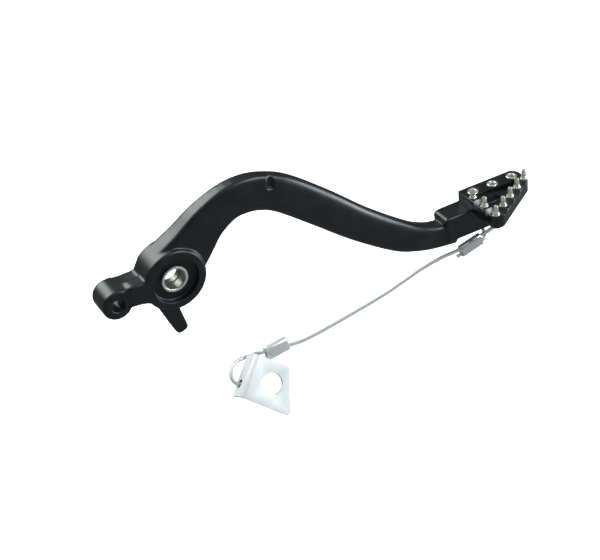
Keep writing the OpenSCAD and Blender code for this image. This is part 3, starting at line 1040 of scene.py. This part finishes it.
@dataclass
class ForgedArm:
    """The forged arm with its hub, lug, stop tab and block, and the bush in it.

    Attributes:
        grid: Spacing of the points on the forged skin.
        rounds: Passes that soften the forged edges.
        regain: What the skin gets back of what those passes take.
        neck_along: Lowest and highest x of the neck between hub and lug.
        neck_up: Lowest and highest z of that neck.
        neck_rounds: Further passes that soften the neck.
        hub_out: Outboard face of the hub.
        hub_in: Inboard face of the hub.
        lug_out: Outboard face of the lug.
        recess_r: Radius of the recess round the bush.
        recess_rim: Radius of the recess's rim.
        recess_fillet: Radius of its floor's corner.
        seat_half: Half the length of the bush's seat.
        bush_r: Radius of the seat.
        lug: Place of the clevis hole, as x and z.
        clevis_r: Radius of the clevis hole.
        clevis_rim: Radius of its rim.
        cable_hole: Place of the cable's hole in the tip's frame, as x and z.
        cable_hole_r: Radius of the cable's hole.
        cable_hole_rim: Radius of its rim.
        block_half: Half the width of the block.
        plug_over: What a plug has over the radius of the hub's or the lug's hole.
        block_plug_over: The same for the cable's hole.
        plug_under: How far a plug stays under the faces.
        overrun: How far a cutter runs past what it cuts.
    """

    grid: float = 0.62
    rounds: int = 7
    regain: float = 0.14
    neck_along: tuple[float, float] = (-33.0, -16.0)
    neck_up: tuple[float, float] = (0.0, 12.0)
    neck_rounds: int = 14
    hub_out: float = 8.6
    hub_in: float = 10.5
    lug_out: float = 7.4
    recess_r: float = 14.3
    recess_rim: float = 0.6
    recess_fillet: float = 0.9
    seat_half: float = 4.6
    bush_r: float = 8.25
    lug: tuple[float, float] = (-36.0, -6.4)
    clevis_r: float = 4.0
    clevis_rim: float = 0.9
    cable_hole: tuple[float, float] = (12.7, -17.2)
    cable_hole_r: float = 2.7
    cable_hole_rim: float = 0.5
    block_half: float = 7.5
    plug_over: float = 0.4
    block_plug_over: float = 0.3
    plug_under: float = 0.05
    overrun: float = 1.0

    def plug(self, piece: bpy.types.Object, radius: float, low: Vector, high: Vector) -> None:
        """Fills a hole in the blank.

        Args:
            piece: The blank.
            radius: Radius of the plug.
            low: One end of its axis, in metres.
            high: The other end.
        """
        length = (high - low).length / MM
        slug = turned("slug", [(0.0, radius), (length, radius)], facing(high - low, low), 48)
        combine(piece, slug, "UNION")

    def drill(
        self, piece: bpy.types.Object, stations: Profile, face: Vector, way: Vector, sides: int = 96
    ) -> None:
        """Cuts a turned form into a face.

        Args:
            piece: The blank.
            stations: The cutter's stations.
            face: Where its axis meets the face, in metres.
            way: Its direction into the metal.
            sides: Points round a station.
        """
        combine(piece, turned("drill", stations, facing(way, face), sides))

    def forging(self) -> bpy.types.Object:
        """Makes the forged blank, closed and with soft edges.

        Returns:
            The blank.
        """
        piece = merged_copy("pedal_arm", "forged_arm")
        over, under = self.plug_over, self.plug_under
        inner, outer, lug_face = self.hub_in - under, -self.hub_out + under, -self.lug_out + under
        axis_ends = Vector((0, outer, 0)) * MM, Vector((0, inner, 0)) * MM
        self.plug(piece, self.recess_r + over, *axis_ends)
        x, z = self.lug
        lug_ends = Vector((x, lug_face, z)) * MM, Vector((x, inner, z)) * MM
        self.plug(piece, self.clevis_r + over, *lug_ends)
        hx, hz = self.cable_hole
        side = self.block_half - under
        block_ends = TIP.point(hx, -side, hz), TIP.point(hx, side, hz)
        self.plug(piece, self.cable_hole_r + self.block_plug_over, *block_ends)
        apply_modifier(piece, "REMESH", mode="VOXEL", voxel_size=self.grid * MM, adaptivity=0.0)
        apply_modifier(piece, "SMOOTH", factor=0.5, iterations=self.rounds)
        apply_modifier(piece, "DISPLACE", strength=self.regain * MM, mid_level=0.0)
        self.blend_neck(piece)
        return piece

    def blend_neck(self, piece: bpy.types.Object) -> None:
        """Softens the neck between hub and lug, as its die's large radius does.

        Args:
            piece: The blank.
        """
        pick(piece)
        bpy.ops.object.mode_set(mode="EDIT")
        bpy.ops.mesh.select_mode(type="VERT")
        bpy.ops.mesh.select_all(action="DESELECT")
        bpy.ops.object.mode_set(mode="OBJECT")
        (back, ahead), (low, high) = self.neck_along, self.neck_up
        for point in piece.data.vertices:
            x, _y, z = point.co / MM
            point.select = back < x < ahead and low < z < high
        bpy.ops.object.mode_set(mode="EDIT")
        bpy.ops.mesh.vertices_smooth(factor=0.5, repeat=self.neck_rounds)
        bpy.ops.object.mode_set(mode="OBJECT")

    def machine(self, piece: bpy.types.Object) -> None:
        """Cuts the recesses, the seat and the holes into the blank.

        Args:
            piece: The blank.
        """
        for face, way in ((self.hub_out, INBOARD), (self.hub_in, OUTBOARD)):
            depth = face - self.seat_half + self.regain
            recess = hole_cutter(self.recess_r, depth, self.recess_rim, self.recess_fillet)
            self.drill(piece, recess, -way * (face + self.regain) * MM, way)
        seat_length = 2 * (self.seat_half + self.overrun)
        seat = [(0.0, self.bush_r), (seat_length, self.bush_r)]
        self.drill(piece, seat, OUTBOARD * (self.seat_half + self.overrun) * MM, INBOARD)
        x, z = self.lug
        half_way = (self.lug_out + self.hub_in) / 2 + self.overrun
        pin = hole_cutter(self.clevis_r, half_way, self.clevis_rim)
        self.drill(piece, pin, Vector((x, -self.lug_out - self.regain, z)) * MM, INBOARD)
        self.drill(piece, pin, Vector((x, self.hub_in + self.regain, z)) * MM, OUTBOARD)
        hx, hz = self.cable_hole
        cut = hole_cutter(self.cable_hole_r, self.block_half + self.overrun, self.cable_hole_rim)
        for side in (-1, 1):
            face = TIP.point(hx, side * (self.block_half + self.regain), hz)
            self.drill(piece, cut, face, TIP.turn(0, -side, 0), 48)

    def build(self) -> None:
        """Builds and dresses the arm."""
        piece = self.forging()
        self.machine(piece)
        finish_piece(piece, [ANODISED_FORGING.material()], "pedal_arm", 42)


@dataclass
class PivotBush:
    """The turned bush that is pressed into the arm's hub.

    Attributes:
        edge: Width of its broken edges.
        groove_r: Radius of the grease groove's floor.
        groove_depth: Depth of the groove, and width of each of its walls and its floor.
        groove_from: Where the groove starts, inboard of the bush's middle.
        rim_from: Distance from the bush's middle at which its rims start.
    """

    edge: float = 0.25
    groove_r: float = 6.9
    groove_depth: float = 0.5
    groove_from: float = 0.2
    rim_from: float = 6.2

    def build(self) -> None:
        """Builds the bush, with painted shade darkening its bore and the steel's own colour on its
        rims.
        """
        piece = merged_copy("pivot_bush", "turned_bush")
        step, reach = self.groove_depth, self.groove_r
        ring = [(0.0, reach - step), (step, reach), (2 * step, reach), (3 * step, reach - step)]
        place = facing(INBOARD, INBOARD * self.groove_from * MM)
        combine(piece, turned("groover", ring, place, 96))
        flatten_faces(piece)
        break_edges(piece, self.edge, 3, 30)
        piece.data.materials.clear()
        # Faces within rim_from of the middle take the bore's painted shade; the rims take the
        # steel's own colour
        for face in piece.data.polygons:
            face.material_index = int(abs(face.center.y) > self.rim_from * MM)
        surfaces = [BUSH_BORE_SHADE.material(), BUSH_RIM.material()]
        finish_piece(piece, surfaces, "pivot_bush")


@dataclass
class ToeTip:
    """The milled toe tip with its screws and cleats.

    Attributes:
        edge: Width of the broken edges.
        head_r: Radius of a screw's head.
        head_h: Height of a screw's head.
        sink: Depth of the counterbore's floor.
        socket_r: Half the width of the socket, across its corners.
        socket_depth: Depth of the socket.
        thread_l: Length of a cleat's thread.
        thread_r: Radius of a cleat's thread.
        flange_r: Radius of a cleat's flange.
        cleat_h: Height of a cleat above the tip.
        cleats: Number of cleats.
    """

    edge: float = 0.35
    head_r: float = 3.7
    head_h: float = 4.0
    sink: float = 4.1
    socket_r: float = 1.95
    socket_depth: float = 2.2
    thread_l: float = 4.8
    thread_r: float = 1.5
    flange_r: float = 2.5
    cleat_h: float = 6.6
    cleats: int = 7

    def tip(self) -> None:
        """Builds the milled body, with its edges broken."""
        piece = flat_copy("toe_tip", "milled_tip")
        break_edges(piece, self.edge, 2, 35, "MITER_ARC")
        finish_piece(piece, [ANODISED_TIP.material()], "toe_tip")

    def screw(self) -> bpy.types.Object:
        """Turns the rear screw's head and sinks its socket.

        Returns:
            The head, in its place.
        """
        r, h = self.head_r, self.head_h
        low_edge = [(0.0, r - 0.3), (0.1, r - 0.1), (0.3, r)]
        crown = [
            (h - 0.8, r), (h - 0.55, r - 0.06), (h - 0.32, r - 0.2), (h - 0.14, r - 0.42),
            (h - 0.03, r - 0.7), (h, r - 1.0),
        ]
        place = TIP.matrix() @ Matrix.Translation((0.0, 0.0, -self.sink * MM))
        piece = turned("cap_screw", low_edge + crown, place)
        # The cutters start a little above the crown and point down into it
        above = Matrix.Translation((0.0, 0.0, (h + 0.2) * MM)) @ Matrix.Rotation(math.pi, 4, "X")
        s, depth = self.socket_r, self.socket_depth
        cone = [(0.0, s + 0.55), (0.2, s + 0.35), (0.55, s * 0.9)]
        combine(piece, turned("countersink", cone, place @ above, 48))
        key = [(0.0, s), (depth, s), (depth + 0.5, 0.4)]
        combine(piece, turned("key", key, place @ above, 6))
        return piece

    def cleat(self) -> bpy.types.Object:
        """Turns a cleat, standing on the origin.

        Returns:
            The cleat.
        """
        h, f = self.cleat_h, self.flange_r
        thread = [
            (-self.thread_l, self.thread_r - 0.2), (-self.thread_l + 0.2, self.thread_r),
            (0.0, self.thread_r),
        ]
        flange = [
            (0.0, f - 0.15), (0.12, f), (0.6, f), (0.75, f - 0.1), (1.05, f - 0.4),
            (1.45, f - 0.6), (1.8, f - 0.66), (2.05, f - 0.78),
        ]
        neck = [(2.25, 1.55), (2.45, 1.52), (2.7, 1.58), (3.1, 1.56)]
        point = [
            (h - 0.5, 1.4), (h - 0.2, 1.32), (h - 0.05, 1.2), (h, 1.05), (h, 0.85),
            (h - 0.25, 0.68), (h - 0.8, 0.6),
        ]
        return turned("cleat", thread + flange + neck + point, Matrix.Identity(4), 40)

    def seat_of(self, node: str) -> Matrix:
        """Finds a cleat's seat from its node's box.

        Args:
            node: Name of the cleat's node.

        Returns:
            The place of the cleat's axis where it leaves the tip's top face.
        """
        low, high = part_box(node)
        middle = (Vector(low) + Vector(high)) / 2
        local = TIP.matrix().inverted() @ middle
        return TIP.matrix() @ Matrix.Translation((local.x, local.y, 0.0))

    def build(self) -> None:
        """Builds and dresses the tip, its screws and its cleats."""
        self.tip()
        steel = TURNED_STEEL.material()
        screw = self.screw()
        for k, name in enumerate(("rear", "middle", "front")):
            along = Matrix.Translation(TIP.turn(k * TIP.screw_pitch, 0, 0) * MM)
            piece = copy_of(screw, f"cap_screw_{name}", along)
            finish_piece(piece, [steel], f"tip_screw_{name}")
        bpy.data.objects.remove(screw)
        cleat = self.cleat()
        for k in range(1, self.cleats + 1):
            piece = copy_of(cleat, f"turned_cleat_{k}", self.seat_of(f"cleat_{k}"))
            finish_piece(piece, [steel], f"cleat_{k}")
        bpy.data.objects.remove(cleat)


@dataclass
class AnchorBracket:
    """The folded bracket and the crimped sleeves.

    Attributes:
        edge: Width of the bracket's broken edges.
        sleeve_edge: Width of the sleeves' rounded ends.
        tilt: The plate's tilt, turn and roll, in degrees.
    """

    edge: float = 0.2
    sleeve_edge: float = 0.35
    tilt: Triple = (58.0, -4.0, -35.0)

    def sheet(self) -> bpy.types.Object:
        """Makes the bracket, with broken edges and a second slot for its sheared rims, which carry
        painted shade.

        Returns:
            The bracket.
        """
        piece = flat_copy("anchor_bracket", "folded_bracket")
        break_edges(piece, self.edge, 2, 35)
        tilt, turn, roll = (math.radians(v) for v in self.tilt)
        placed = (
            Matrix.Rotation(turn, 3, "Z")
            @ Matrix.Rotation(tilt, 3, "X")
            @ Matrix.Rotation(roll, 3, "Z")
        )
        across_flange, along_fold, across_plate = placed.col
        for face in piece.data.polygons:
            flat = max(abs(face.normal.dot(across_plate)), abs(face.normal.dot(across_flange)))
            along = abs(face.normal.dot(along_fold))
            # A rim faces along the fold, or lies between it and the sheet's own faces; it takes the
            # darker slot, partly painted shade
            if along > 0.5 or (flat < 0.9 and along > 0.3):
                face.material_index = 1
        return piece

    def build(self) -> None:
        """Builds and dresses the bracket and the sleeves."""
        surfaces = [SHEET_ALUMINIUM.material(), SHEARED_RIM_AND_SHADE.material()]
        finish_piece(self.sheet(), surfaces, "anchor_bracket")
        for end, finish in (("front", PRESSED_ALUMINIUM), ("rear", DRAWN_ALUMINIUM)):
            piece = flat_copy(f"{end}_ferrule", f"crimped_{end}_sleeve")
            break_edges(piece, self.sleeve_edge, 3, 50)
            finish_piece(piece, [finish.material()], f"{end}_ferrule")


def main() -> None:
    """Builds the pedal's looks in order, and reports each piece."""
    logging.basicConfig(level=logging.INFO, format="%(name)s %(message)s")
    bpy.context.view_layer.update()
    studio = Studio()
    studio.camera()
    AnchorBracket().build()
    SafetyCable().build()
    ForgedArm().build()
    PivotBush().build()
    ToeTip().build()
    studio.build()
    bpy.context.scene.view_settings.view_transform = "Standard"
    log.info("boxes written")


if __name__ == "__main__":
    main()
